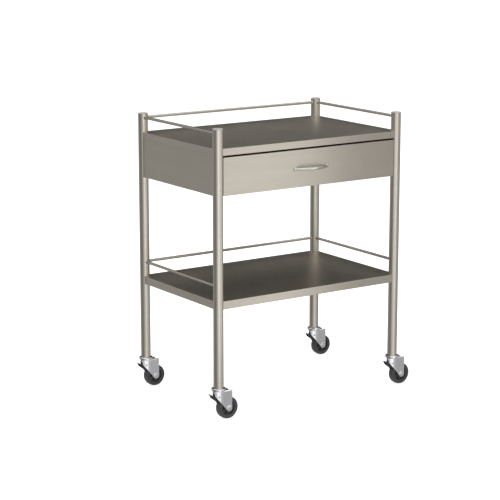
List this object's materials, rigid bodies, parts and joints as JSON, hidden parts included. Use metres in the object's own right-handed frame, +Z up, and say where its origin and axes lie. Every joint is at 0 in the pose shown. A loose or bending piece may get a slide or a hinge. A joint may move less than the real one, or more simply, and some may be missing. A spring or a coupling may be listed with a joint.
{
  "type": "instrument trolley",
  "caption": "Stainless steel hospital instrument trolley: tube legs, guarded top and lower shelves, a drawer under the top shelf, and swivel castors with brakes.",
  "frame": {"origin": "on the floor, at the centre of the trolley's bounding box with its castors parked to the right", "axes": "+Z up, +X to the right of someone facing the drawer, +Y from the drawer's front to the back"},
  "size_m": [0.8268, 0.5282, 0.965],
  "materials": {
    "stainless_sheet": "brushed stainless steel",
    "stainless_tube": "satin stainless steel tube",
    "rail_rod": "satin stainless steel rod",
    "grey_cap": "moulded grey plastic",
    "zinc_plate": "bright zinc plate",
    "runner_steel": "zinc-plated rolled steel",
    "handle_chrome": "polished",
    "tyre_rubber": "dark grey moulded rubber",
    "hub_plastic": "moulded dark plastic",
    "black_lever": "black coated steel",
    "black_rubber": "moulded rubber"
  },
  "bodies": {
    "frame": {"leg_front_left": "stainless_tube", "leg_front_right": "stainless_tube", "leg_back_left": "stainless_tube", "leg_back_right": "stainless_tube", "leg_caps": "grey_cap", "leg_sockets": "zinc_plate", "castor_kingpins": "zinc_plate", "swivel_bearings": "zinc_plate", "top_shelf": "stainless_sheet", "lower_shelf": "stainless_sheet", "shelf_stiffeners": "stainless_sheet", "side_panel_left": "stainless_sheet", "side_panel_right": "stainless_sheet", "back_panel": "stainless_sheet", "top_rail_back": "rail_rod", "top_rail_left": "rail_rod", "top_rail_right": "rail_rod", "lower_rail_back": "rail_rod", "lower_rail_left": "rail_rod", "lower_rail_right": "rail_rod", "runner_outer_left": "runner_steel", "runner_outer_right": "runner_steel", "runner_brackets": "runner_steel"},
    "runner_middle": {"runner_middle_left": "runner_steel", "runner_middle_right": "runner_steel"},
    "drawer": {"drawer_front": "stainless_sheet", "drawer_front_liner": "stainless_sheet", "drawer_box": "stainless_sheet", "drawer_handle": "handle_chrome", "handle_screws": "zinc_plate", "drawer_bumpers": "black_rubber", "runner_inner_left": "runner_steel", "runner_inner_right": "runner_steel"},
    "castor_front_left_swivel": {"castor_front_left_fork": "zinc_plate", "castor_front_left_swivel_housing": "zinc_plate", "castor_front_left_fasteners": "zinc_plate"},
    "castor_front_left_wheel": {"castor_front_left_tyre": "tyre_rubber", "castor_front_left_hub": "hub_plastic"},
    "castor_front_left_brake": {"castor_front_left_brake_lever": "black_lever"},
    "castor_front_right_swivel": {"castor_front_right_fork": "zinc_plate", "castor_front_right_swivel_housing": "zinc_plate", "castor_front_right_fasteners": "zinc_plate"},
    "castor_front_right_wheel": {"castor_front_right_tyre": "tyre_rubber", "castor_front_right_hub": "hub_plastic"},
    "castor_front_right_brake": {"castor_front_right_brake_lever": "black_lever"},
    "castor_back_left_swivel": {"castor_back_left_fork": "zinc_plate", "castor_back_left_swivel_housing": "zinc_plate", "castor_back_left_fasteners": "zinc_plate"},
    "castor_back_left_wheel": {"castor_back_left_tyre": "tyre_rubber", "castor_back_left_hub": "hub_plastic"},
    "castor_back_left_brake": {"castor_back_left_brake_lever": "black_lever"},
    "castor_back_right_swivel": {"castor_back_right_fork": "zinc_plate", "castor_back_right_swivel_housing": "zinc_plate", "castor_back_right_fasteners": "zinc_plate"},
    "castor_back_right_wheel": {"castor_back_right_tyre": "tyre_rubber", "castor_back_right_hub": "hub_plastic"},
    "castor_back_right_brake": {"castor_back_right_brake_lever": "black_lever"}
  },
  "joints": [
    {"name": "drawer_slide", "type": "slide", "parent": "frame", "child": "drawer", "axis": [0, -1, 0], "range_m": [0, 0.38]},
    {"name": "runner_middle_slide", "type": "slide", "parent": "frame", "child": "runner_middle", "axis": [0, -1, 0], "range_m": [0, 0.19]},
    {"name": "castor_front_left_swivel_turn", "type": "hinge", "parent": "frame", "child": "castor_front_left_swivel", "pos_m": [-0.38275, -0.22385, 0.1], "axis": [0, 0, 1], "continuous": true},
    {"name": "castor_front_left_wheel_spin", "type": "hinge", "parent": "castor_front_left_swivel", "child": "castor_front_left_wheel", "pos_m": [-0.35075, -0.22385, 0.0375], "axis": [0, 1, 0], "continuous": true},
    {"name": "castor_front_left_brake_press", "type": "hinge", "parent": "castor_front_left_swivel", "child": "castor_front_left_brake", "pos_m": [-0.38975, -0.22385, 0.08], "axis": [0, -1, 0], "range_deg": [0, 8]},
    {"name": "castor_front_right_swivel_turn", "type": "hinge", "parent": "frame", "child": "castor_front_right_swivel", "pos_m": [0.34325, -0.22385, 0.1], "axis": [0, 0, 1], "continuous": true},
    {"name": "castor_front_right_wheel_spin", "type": "hinge", "parent": "castor_front_right_swivel", "child": "castor_front_right_wheel", "pos_m": [0.37525, -0.22385, 0.0375], "axis": [0, 1, 0], "continuous": true},
    {"name": "castor_front_right_brake_press", "type": "hinge", "parent": "castor_front_right_swivel", "child": "castor_front_right_brake", "pos_m": [0.33625, -0.22385, 0.08], "axis": [0, -1, 0], "range_deg": [0, 8]},
    {"name": "castor_back_left_swivel_turn", "type": "hinge", "parent": "frame", "child": "castor_back_left_swivel", "pos_m": [-0.38275, 0.24015, 0.1], "axis": [0, 0, 1], "continuous": true},
    {"name": "castor_back_left_wheel_spin", "type": "hinge", "parent": "castor_back_left_swivel", "child": "castor_back_left_wheel", "pos_m": [-0.35075, 0.24015, 0.0375], "axis": [0, 1, 0], "continuous": true},
    {"name": "castor_back_left_brake_press", "type": "hinge", "parent": "castor_back_left_swivel", "child": "castor_back_left_brake", "pos_m": [-0.38975, 0.24015, 0.08], "axis": [0, -1, 0], "range_deg": [0, 8]},
    {"name": "castor_back_right_swivel_turn", "type": "hinge", "parent": "frame", "child": "castor_back_right_swivel", "pos_m": [0.34325, 0.24015, 0.1], "axis": [0, 0, 1], "continuous": true},
    {"name": "castor_back_right_wheel_spin", "type": "hinge", "parent": "castor_back_right_swivel", "child": "castor_back_right_wheel", "pos_m": [0.37525, 0.24015, 0.0375], "axis": [0, 1, 0], "continuous": true},
    {"name": "castor_back_right_brake_press", "type": "hinge", "parent": "castor_back_right_swivel", "child": "castor_back_right_brake", "pos_m": [0.33625, 0.24015, 0.08], "axis": [0, -1, 0], "range_deg": [0, 8]}
  ],
  "couplings": [
    {"joint": "runner_middle_slide", "follows": "drawer_slide", "ratio": 0.5}
  ]
}
